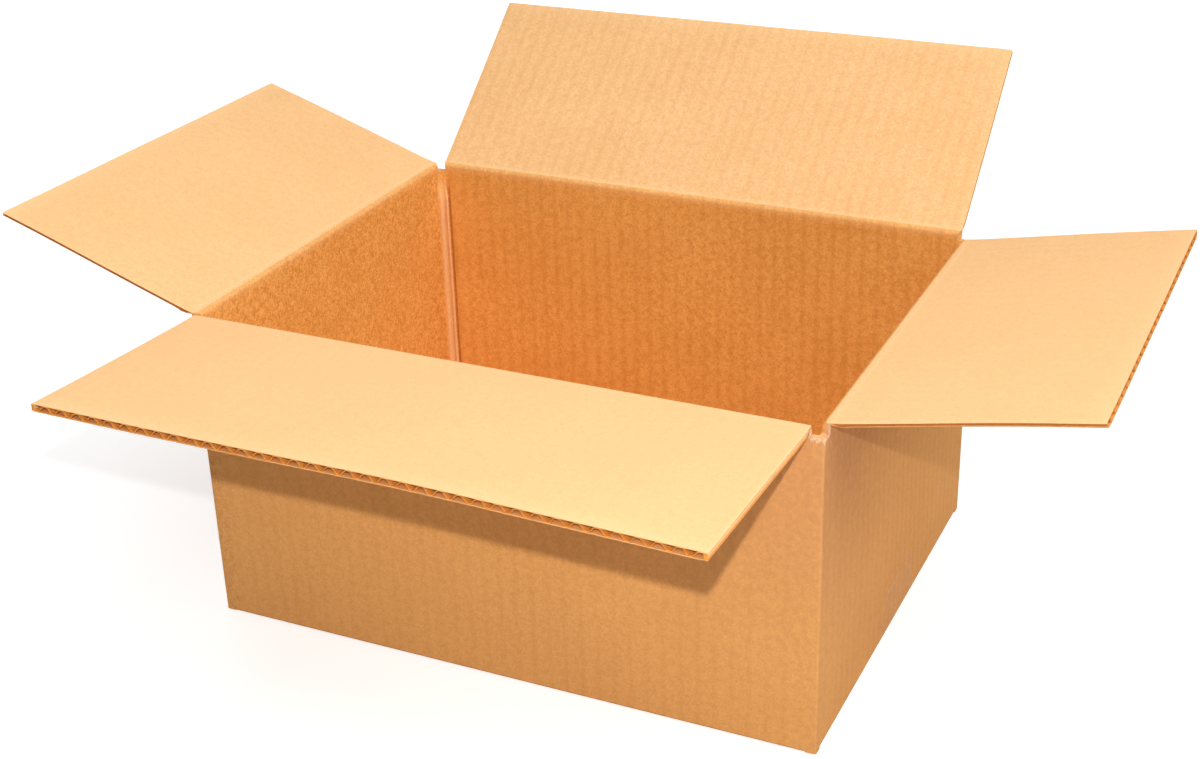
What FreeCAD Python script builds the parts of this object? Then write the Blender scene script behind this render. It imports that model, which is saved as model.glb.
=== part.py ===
import FreeCAD
import Part
import math
import os

# An open regular slotted box of single-wall corrugated board, in millimetres.
# The frame stands on the floor: origin under the middle of the base, X along the long walls,
# Y from the front wall to the back wall, Z up.

# Overall sizes, outside the board
OUTER_LENGTH = 312.0
OUTER_WIDTH = 235.8
CREASE_HEIGHT = 161.6

# The corrugated board: two liners and a waved medium between them
BOARD = 3.6
LINER = 0.35
MEDIUM = 0.35
FLUTE_PITCH = 8.15
WIDE_SHARE = 0.39
FLUTE_MARGIN = 0.8

# Folds: the board is crushed thin where it bends
CORNER_RADIUS = 2.5
CORNER_BEAD = 3.5
FOLD_RADIUS = 3.0
CREASE_OUT = 0.2
CREASE_UP = 0.2
CREASE_THICKNESS = 0.7
CRUSH_LENGTH = 6.0
CREST_INSET = 0.7
CREST_LAND = 0.5
CREST_DROP = 1.8

# Top flaps: length from the crease, and the angle above level at which each one stands open
FLAP_LENGTH = 111.0
FRONT_LIFT = 3.0
RIGHT_LIFT = 10.8
BACK_LIFT = 39.5
LEFT_LIFT = 18.7

# How far each flap's ends stay short of the box corners, which is half of each corner slot
FRONT_END_LEFT = 2.7
FRONT_END_RIGHT = 6.2
RIGHT_END_FRONT = 5.9
RIGHT_END_BACK = 12.4
BACK_END_RIGHT = 6.4
BACK_END_LEFT = 5.4
LEFT_END_BACK = 4.2
LEFT_END_FRONT = 2.9
SLOT_DEPTH = 5.0

# Bottom flaps: the long pair meets under the short pair
SEAM_GAP = 0.6
LAYER_GAP = 0.3
BOTTOM_END = 5.0
SLOT_FOOT = 1.2

# The glued joint at the back right corner
TAB_WIDTH = 35.0
TAB_TAPER = 15.0
TAB_END_CLEARANCE = 2.0
JOINT_GROOVE = 2.0

# Clear tape along the bottom seam, turned up on both end walls
TAPE_THICKNESS = 0.15
TAPE_WIDTH = 48.0
TAPE_SHIFT = 4.0
TAPE_RISE = 23.4

# Levels worked out from the sizes above
LONG_BASE = TAPE_THICKNESS
SHORT_BASE = LONG_BASE + BOARD + LAYER_GAP
WALL_FOOT = SHORT_BASE + BOARD + LAYER_GAP
SLOT_FLOOR = CREASE_HEIGHT - SLOT_DEPTH
POST_FOOT = LONG_BASE + SLOT_FOOT
BOTTOM_REACH = (OUTER_WIDTH - SEAM_GAP) / 2

# How far a quarter bend's middle lies in from its square corner, for each unit of radius
BEND_MIDDLE = 1 - math.sqrt(0.5)

# Each side is built as if it were the front one, then turned about Z by its quarter turns.
# ends: what the top flap leaves free at the low and the high end of that turned frame.
# open_edge: whether the bottom flap's cut edge lies open to the inside of the box.
SIDES = {
    "front": {"turn": 0, "span": OUTER_LENGTH, "depth": OUTER_WIDTH, "base": LONG_BASE,
              "lift": FRONT_LIFT, "ends": (FRONT_END_LEFT, FRONT_END_RIGHT), "open_edge": False},
    "right": {"turn": 90, "span": OUTER_WIDTH, "depth": OUTER_LENGTH, "base": SHORT_BASE,
              "lift": RIGHT_LIFT, "ends": (RIGHT_END_FRONT, RIGHT_END_BACK), "open_edge": True},
    "back": {"turn": 180, "span": OUTER_LENGTH, "depth": OUTER_WIDTH, "base": LONG_BASE,
             "lift": BACK_LIFT, "ends": (BACK_END_RIGHT, BACK_END_LEFT), "open_edge": False},
    "left": {"turn": 270, "span": OUTER_WIDTH, "depth": OUTER_LENGTH, "base": SHORT_BASE,
             "lift": LEFT_LIFT, "ends": (LEFT_END_BACK, LEFT_END_FRONT), "open_edge": True},
}

X_AXIS = FreeCAD.Vector(1, 0, 0)
Y_AXIS = FreeCAD.Vector(0, 1, 0)
Z_AXIS = FreeCAD.Vector(0, 0, 1)
ORIGIN = FreeCAD.Vector(0, 0, 0)


def vector(x, y, z):
    return FreeCAD.Vector(x, y, z)


def flap_span(side):
    """Where the side's flap starts and stops along its crease."""
    low, high = side["ends"]
    return -side["span"] / 2 + low, side["span"] / 2 - high


def extrude_profile(edges, start, stop):
    """A profile drawn in the YZ plane, run along X from start to stop."""
    profile = Part.Face(Part.Wire(edges))
    profile.translate(X_AXIS * start)
    return profile.extrude(X_AXIS * (stop - start))


def lines(points):
    return [Part.LineSegment(a, b).toShape() for a, b in zip(points, points[1:])]


def turned(shape, side):
    """A piece made as if on the front side, turned to the side it belongs to."""
    placed = shape.copy()
    placed.rotate(ORIGIN, Z_AXIS, side["turn"])
    return placed


def flute_cell(centre, facing_up, near, far):
    """One open channel between the medium and a liner, under an inner face at z = 0.

    The medium's wave is drawn as straight facets, so a channel is a six-sided prism
    that runs along -Y from near to far. Channels facing up and down alternate.
    """
    wide = WIDE_SHARE * FLUTE_PITCH
    slope = math.atan2(BOARD - 2 * LINER, 2 * wide - FLUTE_PITCH / 2)
    web = MEDIUM / 2 / math.sin(slope)
    middle = FLUTE_PITCH / 4 - web
    narrow = FLUTE_PITCH / 2 - wide - web
    liner_side, medium_side = -LINER, -BOARD + LINER + MEDIUM
    if not facing_up:
        liner_side, medium_side = -BOARD + LINER, -LINER - MEDIUM
    outline = [(-wide, liner_side), (-middle, -BOARD / 2), (-narrow, medium_side),
               (narrow, medium_side), (middle, -BOARD / 2), (wide, liner_side), (-wide, liner_side)]
    points = [vector(centre + x, -near, z) for x, z in outline]
    return Part.Face(Part.Wire(lines(points))).extrude(Y_AXIS * (near - far))


def flute_cells(start, stop, near, far):
    """All the channels that fit whole between two ends of a cut edge."""
    first_room = WIDE_SHARE * FLUTE_PITCH + FLUTE_MARGIN
    step = FLUTE_PITCH / 2
    count = int((stop - start - 2 * first_room) / step) + 1
    first = (start + stop - (count - 1) * step) / 2
    cells = [flute_cell(first + i * step, i % 2 == 0, near, far) for i in range(count)]
    return Part.makeCompound(cells)


def top_flap(side):
    """A top flap: crushed thin at its crease, full board beyond, flutes open at its free edge."""
    start, stop = flap_span(side)
    section = [vector(0, 0, 0), vector(0, -FLAP_LENGTH, 0), vector(0, -FLAP_LENGTH, -BOARD),
               vector(0, -CRUSH_LENGTH, -BOARD), vector(0, 0, -CREASE_THICKNESS), vector(0, 0, 0)]
    flap = extrude_profile(lines(section), start, stop)
    flap = flap.cut(flute_cells(start, stop, CRUSH_LENGTH, FLAP_LENGTH + BOARD))
    flap.rotate(ORIGIN, X_AXIS, -side["lift"])
    flap.translate(vector(0, -side["depth"] / 2 - CREASE_OUT, CREASE_HEIGHT + CREASE_UP))
    return turned(flap, side)


def wall_crest(side):
    """The top of a wall between its two slots, rounded to the inside and crushed on the outside."""
    start, stop = flap_span(side)
    face = -side["depth"] / 2
    land = CREST_INSET + CREST_LAND
    radius = BOARD - land
    turn = radius * BEND_MIDDLE
    outside = [vector(0, face + BOARD, SLOT_FLOOR), vector(0, face, SLOT_FLOOR),
               vector(0, face, CREASE_HEIGHT - CREST_DROP), vector(0, face + CREST_INSET, CREASE_HEIGHT),
               vector(0, face + land, CREASE_HEIGHT)]
    shoulder = vector(0, face + BOARD, CREASE_HEIGHT - radius)
    bend = Part.Arc(outside[-1], vector(0, face + BOARD - turn, CREASE_HEIGHT - turn), shoulder)
    inside = Part.LineSegment(shoulder, outside[0])
    return turned(extrude_profile(lines(outside) + [bend.toShape(), inside.toShape()], start, stop), side)


def bottom_flap(side):
    """The foot of a wall with its bottom flap, folded in under the box."""
    start = -side["span"] / 2 + BOTTOM_END
    stop = side["span"] / 2 - BOTTOM_END
    face = -side["depth"] / 2
    base = side["base"]
    edge = face + BOTTOM_REACH
    turn = FOLD_RADIUS * BEND_MIDDLE
    rise = [vector(0, face, WALL_FOOT), vector(0, face, base + FOLD_RADIUS)]
    bend = Part.Arc(rise[-1], vector(0, face + turn, base + turn), vector(0, face + FOLD_RADIUS, base))
    rest = [vector(0, face + FOLD_RADIUS, base), vector(0, edge, base), vector(0, edge, base + BOARD),
            vector(0, face + BOARD, base + BOARD), vector(0, face + BOARD, WALL_FOOT), rise[0]]
    flap = extrude_profile(lines(rise) + [bend.toShape()] + lines(rest), start, stop)
    if side["open_edge"]:
        cells = flute_cells(start, stop, -face - BOARD - CRUSH_LENGTH, -edge - BOARD)
        cells.translate(Z_AXIS * (base + BOARD))
        flap = flap.cut(cells)
    return turned(flap, side)


def upright_edges(box):
    return [edge for edge in box.Edges if edge.Vertexes[0].Z != edge.Vertexes[1].Z]


def is_joint_corner(edge):
    return edge.Vertexes[0].X > 0 and edge.Vertexes[0].Y > 0


def wall_ring(foot, top, bead):
    """The four walls as one band: rounded outside, a bead of crushed liner in each inner corner.

    The back right corner is the glued joint: the end wall's cut edge stands square, and a
    groove runs between it and the folded edge of the back wall.
    """
    height = top - foot
    outer = Part.makeBox(OUTER_LENGTH, OUTER_WIDTH, height, vector(-OUTER_LENGTH / 2, -OUTER_WIDTH / 2, foot))
    folded = [edge for edge in upright_edges(outer) if not is_joint_corner(edge)]
    outer = outer.makeFillet(CORNER_RADIUS, folded)
    clear_x = OUTER_LENGTH - 2 * BOARD
    clear_y = OUTER_WIDTH - 2 * BOARD
    inner = Part.makeBox(clear_x, clear_y, height, vector(-clear_x / 2, -clear_y / 2, foot))
    if bead:
        inner = inner.makeChamfer(bead, upright_edges(inner))
    cut_edge = OUTER_LENGTH / 2 - BOARD
    back = OUTER_WIDTH / 2
    groove = [vector(cut_edge, back, foot), vector(cut_edge, back - JOINT_GROOVE, foot),
              vector(cut_edge - JOINT_GROOVE, back, foot), vector(cut_edge, back, foot)]
    groove = Part.Face(Part.Wire(lines(groove))).extrude(Z_AXIS * height)
    return outer.cut(inner).cut(groove)


def corner_posts():
    """The four corners below the walls' foot, down to the ends of the bottom slots."""
    band = wall_ring(POST_FOOT, WALL_FOOT, 0)
    corners = []
    for x in (-OUTER_LENGTH / 2, OUTER_LENGTH / 2 - BOTTOM_END):
        for y in (-OUTER_WIDTH / 2, OUTER_WIDTH / 2 - BOTTOM_END):
            corner = Part.makeBox(BOTTOM_END, BOTTOM_END, WALL_FOOT - POST_FOOT, vector(x, y, POST_FOOT))
            corners.append(band.common(corner))
    return corners


def glue_tab():
    """The tab of the back wall, turned forward and glued on the inside of the right wall."""
    root = OUTER_WIDTH / 2 - BOARD
    low = WALL_FOOT + TAB_END_CLEARANCE
    high = SLOT_FLOOR - TAB_END_CLEARANCE
    taper = TAB_WIDTH * math.tan(math.radians(TAB_TAPER))
    outline = [vector(0, root, low), vector(0, root, high), vector(0, root - TAB_WIDTH, high - taper),
               vector(0, root - TAB_WIDTH, low + taper), vector(0, root, low)]
    return extrude_profile(lines(outline), OUTER_LENGTH / 2 - 2 * BOARD, OUTER_LENGTH / 2 - BOARD)


def box_body():
    """Walls, bottom flaps and glued joint: one folded sheet, so one solid."""
    pieces = [wall_crest(side) for side in SIDES.values()]
    pieces += [bottom_flap(side) for side in SIDES.values()]
    pieces += corner_posts()
    pieces.append(glue_tab())
    return wall_ring(WALL_FOOT, SLOT_FLOOR, CORNER_BEAD).fuse(pieces).removeSplitter()


def tape_path(offset):
    """One face of the tape from its end on the left wall, under the box, to its end on the right."""
    reach = OUTER_LENGTH / 2 + offset
    floor = LONG_BASE - offset
    radius = FOLD_RADIUS + offset
    turn = radius * BEND_MIDDLE
    left = [vector(-reach, 0, TAPE_RISE), vector(-reach, 0, floor + radius)]
    right = [vector(reach, 0, floor + radius), vector(reach, 0, TAPE_RISE)]
    bend_left = Part.Arc(left[1], vector(-reach + turn, 0, floor + turn), vector(-reach + radius, 0, floor))
    bend_right = Part.Arc(vector(reach - radius, 0, floor), vector(reach - turn, 0, floor + turn), right[0])
    flat = lines([vector(-reach + radius, 0, floor), vector(reach - radius, 0, floor)])
    return lines(left) + [bend_left.toShape()] + flat + [bend_right.toShape()] + lines(right)


def bottom_tape():
    """Clear tape that holds the bottom flaps shut."""
    ends = [lines([vector(side * OUTER_LENGTH / 2, 0, TAPE_RISE),
                   vector(side * (OUTER_LENGTH / 2 + TAPE_THICKNESS), 0, TAPE_RISE)])[0] for side in (-1, 1)]
    edges = tape_path(0) + tape_path(TAPE_THICKNESS) + ends
    outline = Part.Wire(Part.__sortEdges__(edges))
    tape = Part.Face(outline).extrude(Y_AXIS * TAPE_WIDTH)
    tape.translate(Y_AXIS * (TAPE_SHIFT - TAPE_WIDTH / 2))
    return tape


def main():
    os.makedirs("parts", exist_ok=True)
    nodes = {"box_body": box_body(), "bottom_tape": bottom_tape()}
    for name, side in SIDES.items():
        nodes[name + "_flap"] = top_flap(side)
    for name, shape in nodes.items():
        shape.exportStep("parts/" + name + ".step")
        box = shape.BoundBox
        print(name, len(shape.Solids), "solid", shape.isValid(), round(shape.Volume), "mm3",
              [round(v, 2) for v in (box.XMin, box.XMax, box.YMin, box.YMax, box.ZMin, box.ZMax)])


main()
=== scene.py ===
import math

import bmesh
import bpy
import numpy as np
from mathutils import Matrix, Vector, noise


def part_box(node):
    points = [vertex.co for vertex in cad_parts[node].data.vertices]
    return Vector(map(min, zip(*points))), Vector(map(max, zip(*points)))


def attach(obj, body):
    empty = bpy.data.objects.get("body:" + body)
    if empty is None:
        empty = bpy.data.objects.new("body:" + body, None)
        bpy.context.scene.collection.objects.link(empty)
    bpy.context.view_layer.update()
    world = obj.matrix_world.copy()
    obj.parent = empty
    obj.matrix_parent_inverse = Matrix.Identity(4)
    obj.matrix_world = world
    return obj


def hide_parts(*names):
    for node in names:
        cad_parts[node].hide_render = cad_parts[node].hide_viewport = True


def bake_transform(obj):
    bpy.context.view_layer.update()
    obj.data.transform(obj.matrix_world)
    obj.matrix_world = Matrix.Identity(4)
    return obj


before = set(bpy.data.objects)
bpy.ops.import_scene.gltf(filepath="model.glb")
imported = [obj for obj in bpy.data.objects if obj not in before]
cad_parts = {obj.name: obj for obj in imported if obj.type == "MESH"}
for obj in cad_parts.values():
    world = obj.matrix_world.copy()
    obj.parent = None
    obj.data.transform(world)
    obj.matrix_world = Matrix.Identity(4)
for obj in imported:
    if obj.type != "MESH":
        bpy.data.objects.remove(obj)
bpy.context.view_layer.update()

# Walls: one sheet of single-wall corrugated kraft board, folded at its scored corners.
# The liners show the flutes behind them as a faint washboard, and the crushed liner makes a
# raised bead in each inner corner, which starts as a point under the corner slot.
MM = 0.001
BODY_LOW, BODY_HIGH = (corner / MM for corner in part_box("box_body"))
LENGTH = BODY_HIGH.x - BODY_LOW.x
WIDTH = BODY_HIGH.y - BODY_LOW.y
CREASE = BODY_HIGH.z
BOARD = 3.6
LINER = 0.35
PITCH = 8.15
# The liner's height between two flutes, and the slow waviness of the large walls. The waviness
# calms down towards the corners, the crest and the foot, each over its own distance.
RIPPLE = 0.07
SWAY = 0.5
SWAY_ALONG = 90
SWAY_UP = 70
SWAY_SEED = 7.3
CALM_EDGE = 12.0
CALM_CREST = 4
CALM_CREST_FADE = 8
CALM_FOOT = 28
CALM_FOOT_FADE = 30
# How strongly the flute lines, painted shade of the washboard, and the grain show on the front, right, back
# and left wall.
WALL_FLUTE_SHADE = (0.63, 0.92, 0.95, 0.2)
WALL_GRAIN = (0.7, 0.6, 0.85, 1.25)
# The top of a wall is crushed on the outside and bends over the thickness of the board.
SLOT_DEPTH = 5.0
SLOT_FLOOR = CREASE - SLOT_DEPTH
CREST_DROP = 1.8
CREST_INSET = 0.7
CREST_TOP = 1.2
CREST_STEPS = 7
# A corner is a rounded fold, but for the glued joint, and takes up a zone of either wall.
CORNER_RADIUS = 1.1
CORNER_STEPS = 9
CORNER_FLAT = 5.0
CORNER_ZONE = 9.2
CORNER_BEAD = 5.0
# Across the bead: a narrow gap on one side, and two puffed ridges with a groove between them.
BEAD_SHARES = (0.0, 0.03, 0.08, 0.16, 0.24, 0.38, 0.47, 0.53, 0.6, 0.76, 0.93, 1.0)
BEAD_PUFF = (-0.2, -1.7, -1.9, -1.7, 0.9, 1.2, 0.0, 0.0, 1.1, 0.9, 0.1, 0.0)
# The bead widens below the slot, and its width then varies quicker than the walls wave.
BEAD_RISE = 16.0
BEAD_FULL = 0.93
BEAD_UNEVEN = 0.12
BEAD_PACE = 6
BEAD_SEED = 9.1
# The outer liner's lower end follows the fold of the bottom flap. At the four corners the board
# is cut away below, and the corner posts stop just over the floor.
FOLD_RADIUS = 1.4
FOLD_STEPS = 7
LONG_BASE = 0.15
SHORT_BASE = 4.05
POST_FOOT = 0.5
POST_WIDTH = 5.0
# The folds of the end walls sag into the room beside the long bottom flaps, almost to the floor.
END_FOLD_LOW = 0.6
SIDES = {
    "front": {"turn": 0, "span": LENGTH, "half": WIDTH / 2, "base": LONG_BASE, "low": LONG_BASE},
    "right": {"turn": 1, "span": WIDTH, "half": LENGTH / 2, "base": SHORT_BASE, "low": END_FOLD_LOW},
    "back": {"turn": 2, "span": LENGTH, "half": WIDTH / 2, "base": LONG_BASE, "low": LONG_BASE},
    "left": {"turn": 3, "span": WIDTH, "half": LENGTH / 2, "base": SHORT_BASE, "low": END_FOLD_LOW},
}
# Corners are counted by the side before them: the torn one is front right, the glued one back right.
TORN_CORNER = 0
JOINT_CORNER = 1
# Wear and painted shade from 0 to 1, and how far they reach: painted shade on the outside of the folds,
# and wear on the bead and beside it, round the torn slot, along the crest and on the floors of the slots.
FOLD_PAINTED_SHADE = 0.8
BEAD_WORN = (0.2, 0.8)
BEAD_SIDE_WEAR = 0.1
TEAR_WEAR = 0.8
TEAR_REACH = 9
CREST_WEAR = 0.35
CREST_WEAR_REACH = 2.5
SLOT_WEAR = 0.5
# Painted shade darkens the two walls round the top of the front right corner.
CORNER_PAINTED_SHADE = 1.0
CORNER_PAINTED_SHADE_REACH = 90.0
CORNER_PAINTED_SHADE_TOP = (LENGTH / 2, -WIDTH / 2, CREASE)
# Places in the list of board materials below.
INNER, OUTER, CUT, PALE_LIT, TORN, CRUSHED_SHADED = range(6)
# The least length that is divided by, and the step to either side of a break.
TINY = 1e-9
NUDGE = 1e-6


def along(turn):
    """Direction along a side's crease, seen from outside from its left end to its right end."""
    angle = turn * math.pi / 2
    return np.array([round(math.cos(angle)), round(math.sin(angle)), 0.0])


def outward(turn):
    return -along(turn + 1)


def flap_span(name):
    """Where a side's top flap starts and stops along its crease, read from its CAD node."""
    ends = [along(SIDES[name]["turn"]) @ np.array(corner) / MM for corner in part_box(name + "_flap")]
    return min(ends), max(ends)


def clamped(share):
    return min(max(share, 0.0), 1.0)


def washboard(run, contact):
    """How far a liner lies below its crests: it touches the medium once in each pitch."""
    return RIPPLE * (1 - contact * math.sin(2 * math.pi * run / PITCH)) / 2


def sway(run, across, seed):
    """The slow waviness of a large panel, from -1 to 1."""
    return 2 * noise.noise(Vector((run / SWAY_ALONG, across / SWAY_UP, seed)))


def linear(value):
    """An sRGB hex colour as the linear colour that a shader takes."""
    channels = [int(value[i:i + 2], 16) / 255 for i in (1, 3, 5)]
    return [c / 12.92 if c <= 0.04045 else ((c + 0.055) / 1.055) ** 2.4 for c in channels] + [1.0]


def add_node(tree, kind, inputs=None, **settings):
    """Adds a node with its settings. Inputs, by name or number, are values, sockets or nodes."""
    node = tree.nodes.new(kind)
    for name, value in settings.items():
        setattr(node, name, value)
    for name, value in (inputs or {}).items():
        if isinstance(value, bpy.types.Node):
            value = value.outputs[0]
        if isinstance(value, bpy.types.NodeSocket):
            tree.links.new(value, node.inputs[name])
        else:
            node.inputs[name].default_value = value
    return node


# Widths of the blobs in the paper's colour. Real fibres are about 0.1 mm wide, too fine to show,
# so their clumps are drawn instead.
CLOUD = 45 * MM
MOTTLE = 3.2 * MM
FIBRE_CLUMP = 1.1 * MM
# Flute lines are painted shade of the washboard relief: narrower than the gaps between them, and they fade in
# and out across the board.
LINE_SHARPNESS = 3.0
LINE_FAINT = 0.5
LINE_FULL = 1.5
SCUFF_FAINT = 0.55
# Uncoated paper is matt: its relief, its smoothest and roughest spots, and its low gloss.
PAPER_RELIEF = 0.12 * MM
PAPER_RELIEF_STRENGTH = 0.4
PAPER_SMOOTHEST = 0.78
PAPER_ROUGHEST = 0.92
PAPER_GLOSS = 0.25


def paper(name, tones, contrast, flute_shade_line, wear):
    """Uncoated kraft linerboard, matt and slightly fibrous.

    tones: the sheet, its darker fibres, its paler fibres, and one for wear and painted shade.
    The eye sees fine mottling, a soft line of painted shade for each flute, and that last tone at folds
    and corners: paler inside, darker outside.
    """
    sheet, dark_tone, pale_tone, wear_and_shade_tone = [linear(tone) for tone in tones]
    material = bpy.data.materials.new(name)
    material.use_nodes = True
    tree = material.node_tree
    shader = tree.nodes["Principled BSDF"]
    place = add_node(tree, "ShaderNodeTexCoord").outputs["Object"]
    board_map = add_node(tree, "ShaderNodeUVMap", uv_map="board")
    wear_and_shade_mask = add_node(tree, "ShaderNodeAttribute", attribute_name="wear").outputs["Fac"]
    flute_shaded = add_node(tree, "ShaderNodeAttribute", attribute_name="flute_shade").outputs["Fac"]
    grainy = add_node(tree, "ShaderNodeAttribute", attribute_name="grain").outputs["Fac"]
    clouds = add_node(tree, "ShaderNodeTexNoise", {"Vector": place, "Scale": 1 / CLOUD, "Detail": 2.0})
    mottle = add_node(tree, "ShaderNodeTexNoise",
                      {"Vector": place, "Scale": 1 / MOTTLE, "Detail": 3.0, "Roughness": 0.6})
    fibres = add_node(tree, "ShaderNodeTexNoise",
                      {"Vector": place, "Scale": 1 / FIBRE_CLUMP, "Detail": 3.0, "Roughness": 0.7})
    colour = sheet
    # Each layer: its pattern, where that starts and where it is full, its strength and its tone.
    # The levels here and below are those of a noise texture, whose middle is 0.5.
    for pattern, faint, full, strength, tone in (
            (clouds, 0.35, 0.65, 0.3, dark_tone), (mottle, 0.42, 0.66, 0.7, dark_tone),
            (fibres, 0.46, 0.7, 1.0, dark_tone), (fibres, 0.5, 0.3, 0.7, pale_tone)):
        amount = add_node(tree, "ShaderNodeMapRange",
                          {"Value": pattern, "From Min": faint, "From Max": full,
                           "To Max": strength * contrast})
        shown = add_node(tree, "ShaderNodeMath", {0: amount, 1: grainy}, operation="MULTIPLY")
        mixed = add_node(tree, "ShaderNodeMix", {0: shown, 6: colour, 7: tone}, data_type="RGBA")
        colour = mixed.outputs[2]
    # Each flute gets a soft darker line: painted shade of the washboard relief.
    run = add_node(tree, "ShaderNodeSeparateXYZ", {0: board_map})
    flute_turn = 2 * math.pi / (PITCH * MM)
    phase = add_node(tree, "ShaderNodeMath", {0: run, 1: flute_turn}, operation="MULTIPLY")
    wave = add_node(tree, "ShaderNodeMath", {0: phase}, operation="SINE")
    raised = add_node(tree, "ShaderNodeMath", {0: wave, 1: 0.5, 2: 0.5}, operation="MULTIPLY_ADD")
    crest = add_node(tree, "ShaderNodeMath", {0: raised, 1: LINE_SHARPNESS}, operation="POWER")
    patchy = add_node(tree, "ShaderNodeMapRange",
                      {"Value": clouds, "From Min": 0.3, "From Max": 0.7,
                       "To Min": LINE_FAINT * flute_shade_line, "To Max": LINE_FULL * flute_shade_line})
    line = add_node(tree, "ShaderNodeMath", {0: crest, 1: patchy}, operation="MULTIPLY")
    shown = add_node(tree, "ShaderNodeMath", {0: line, 1: flute_shaded}, operation="MULTIPLY")
    flute_shade_mixed = add_node(tree, "ShaderNodeMix", {0: shown, 6: colour, 7: dark_tone}, data_type="RGBA")
    ragged = add_node(tree, "ShaderNodeMapRange",
                      {"Value": mottle, "From Min": 0.3, "From Max": 0.6,
                       "To Min": SCUFF_FAINT * wear, "To Max": wear})
    shown = add_node(tree, "ShaderNodeMath", {0: ragged, 1: wear_and_shade_mask}, operation="MULTIPLY")
    with_wear_and_shade = add_node(tree, "ShaderNodeMix", {0: shown, 6: flute_shade_mixed.outputs[2], 7: wear_and_shade_tone},
                    data_type="RGBA")
    height = add_node(tree, "ShaderNodeMath", {0: mottle, 1: fibres}, operation="ADD")
    bump = add_node(tree, "ShaderNodeBump", {"Height": height, "Strength": PAPER_RELIEF_STRENGTH,
                                             "Distance": PAPER_RELIEF})
    rough = add_node(tree, "ShaderNodeMapRange",
                     {"Value": fibres, "From Min": 0.2, "From Max": 0.8,
                      "To Min": PAPER_SMOOTHEST, "To Max": PAPER_ROUGHEST})
    tree.links.new(with_wear_and_shade.outputs[2], shader.inputs["Base Color"])
    tree.links.new(rough.outputs[0], shader.inputs["Roughness"])
    tree.links.new(bump.outputs[0], shader.inputs["Normal"])
    shader.inputs["Specular IOR Level"].default_value = PAPER_GLOSS
    return material


BOARD_MATERIALS = [
    # The liner inside: warm brown and plainly mottled, as unbleached kraft is. It is the same sheet as the
    # flap faces, painted deeper and more orange: painted shade inside the box.
    paper("kraft_liner_inside_painted_shade", ("#F5B25C", "#CF8432", "#FBC97E", "#F6CEA0"), 0.8, 0.25, 0.6),
    # The liner outside: a smoother sheet. Its last tone is darker: painted shade on the folded corners and
    # round the top of the front right corner, and wear along the crest, round the torn slot and at other
    # folds and edges.
    paper("kraft_liner_outside", ("#EAA861", "#CC8A45", "#F4C084", "#C88C5A"), 0.5, 0.18, 0.8),
    # The medium and the cut edges: raw recycled fibre, deeper in colour, paler where it frays.
    paper("cut_corrugated_board", ("#E4943F", "#B26222", "#F2B05E", "#F8D09A"), 0.6, 0.0, 1.0),
    # The inner faces of the top flaps: the same liner as inside, painted paler: painted light on faces turned
    # up to the lamps.
    paper("kraft_liner_flap_face_painted_light", ("#F6C58C", "#E4AA6B", "#FAD5A0", "#FAD9A4"), 0.8, 0.24, 0.6),
    # Torn paper: a pale pinkish fringe of loose fibres, with no flutes behind it.
    paper("torn_kraft_fibres", ("#E9B68C", "#C58257", "#F4D0AA", "#F8DCBE"), 0.9, 0.0, 0.5),
    # Edges squeezed by the slotting knives, with the flutes pressed shut: painted dark, as painted shade of
    # the narrow slit between the squeezed liners.
    paper("knife_crushed_edge_painted_shade", ("#C0783A", "#8E4E20", "#D29A62", "#D8A878"), 0.6, 0.0, 0.6),
]
# Points nearer than this are one point, edges shorter than this are none, and bends up to this
# angle are shaded as round.
SAME_POINT = 0.002 * MM
NO_EDGE = 0.001 * MM
ROUND_BEND = math.radians(35)


def board_object(name, points, faces, uvs, kinds, wear, flute_shade=1.0, grain=1.0):
    """A piece of board from points in millimetres, with its flute map, its wear and painted shade, how
    strongly its painted-shade flute lines show, and its grain.
    """
    mesh = bpy.data.meshes.new(name)
    mesh.from_pydata([tuple(p) for p in np.asarray(points) * MM], [], faces)
    layer = mesh.uv_layers.new(name="board")
    layer.data.foreach_set("uv", (np.asarray(uvs, float).reshape(-1, 2) * MM).ravel())
    mesh.polygons.foreach_set("material_index", kinds)
    for label, values in (("wear", wear), ("flute_shade", flute_shade), ("grain", grain)):
        attribute = mesh.attributes.new(label, "FLOAT", "POINT")
        attribute.data.foreach_set("value", np.array(np.broadcast_to(values, len(points)), np.float32))
    for material in BOARD_MATERIALS:
        mesh.materials.append(material)
    closed = bmesh.new()
    closed.from_mesh(mesh)
    bmesh.ops.remove_doubles(closed, verts=closed.verts, dist=SAME_POINT)
    bmesh.ops.dissolve_degenerate(closed, edges=closed.edges, dist=NO_EDGE)
    bmesh.ops.recalc_face_normals(closed, faces=closed.faces)
    closed.to_mesh(mesh)
    closed.free()
    mesh.shade_smooth()
    mesh.set_sharp_from_angle(angle=ROUND_BEND)
    piece = bpy.data.objects.new(name, mesh)
    bpy.context.scene.collection.objects.link(piece)
    return piece


# The glued joint from outside: a square edge, then the gap where the next wall's sheet begins.
JOINT_FLAT = 3.0
JOINT_ROUNDING = 0.4
JOINT_MIDDLE = 2.0
GAP_DEPTH = 1.2
GAP_NEAR = 0.3
GAP_FAR = 0.6
GAP_END = 2.0


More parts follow.
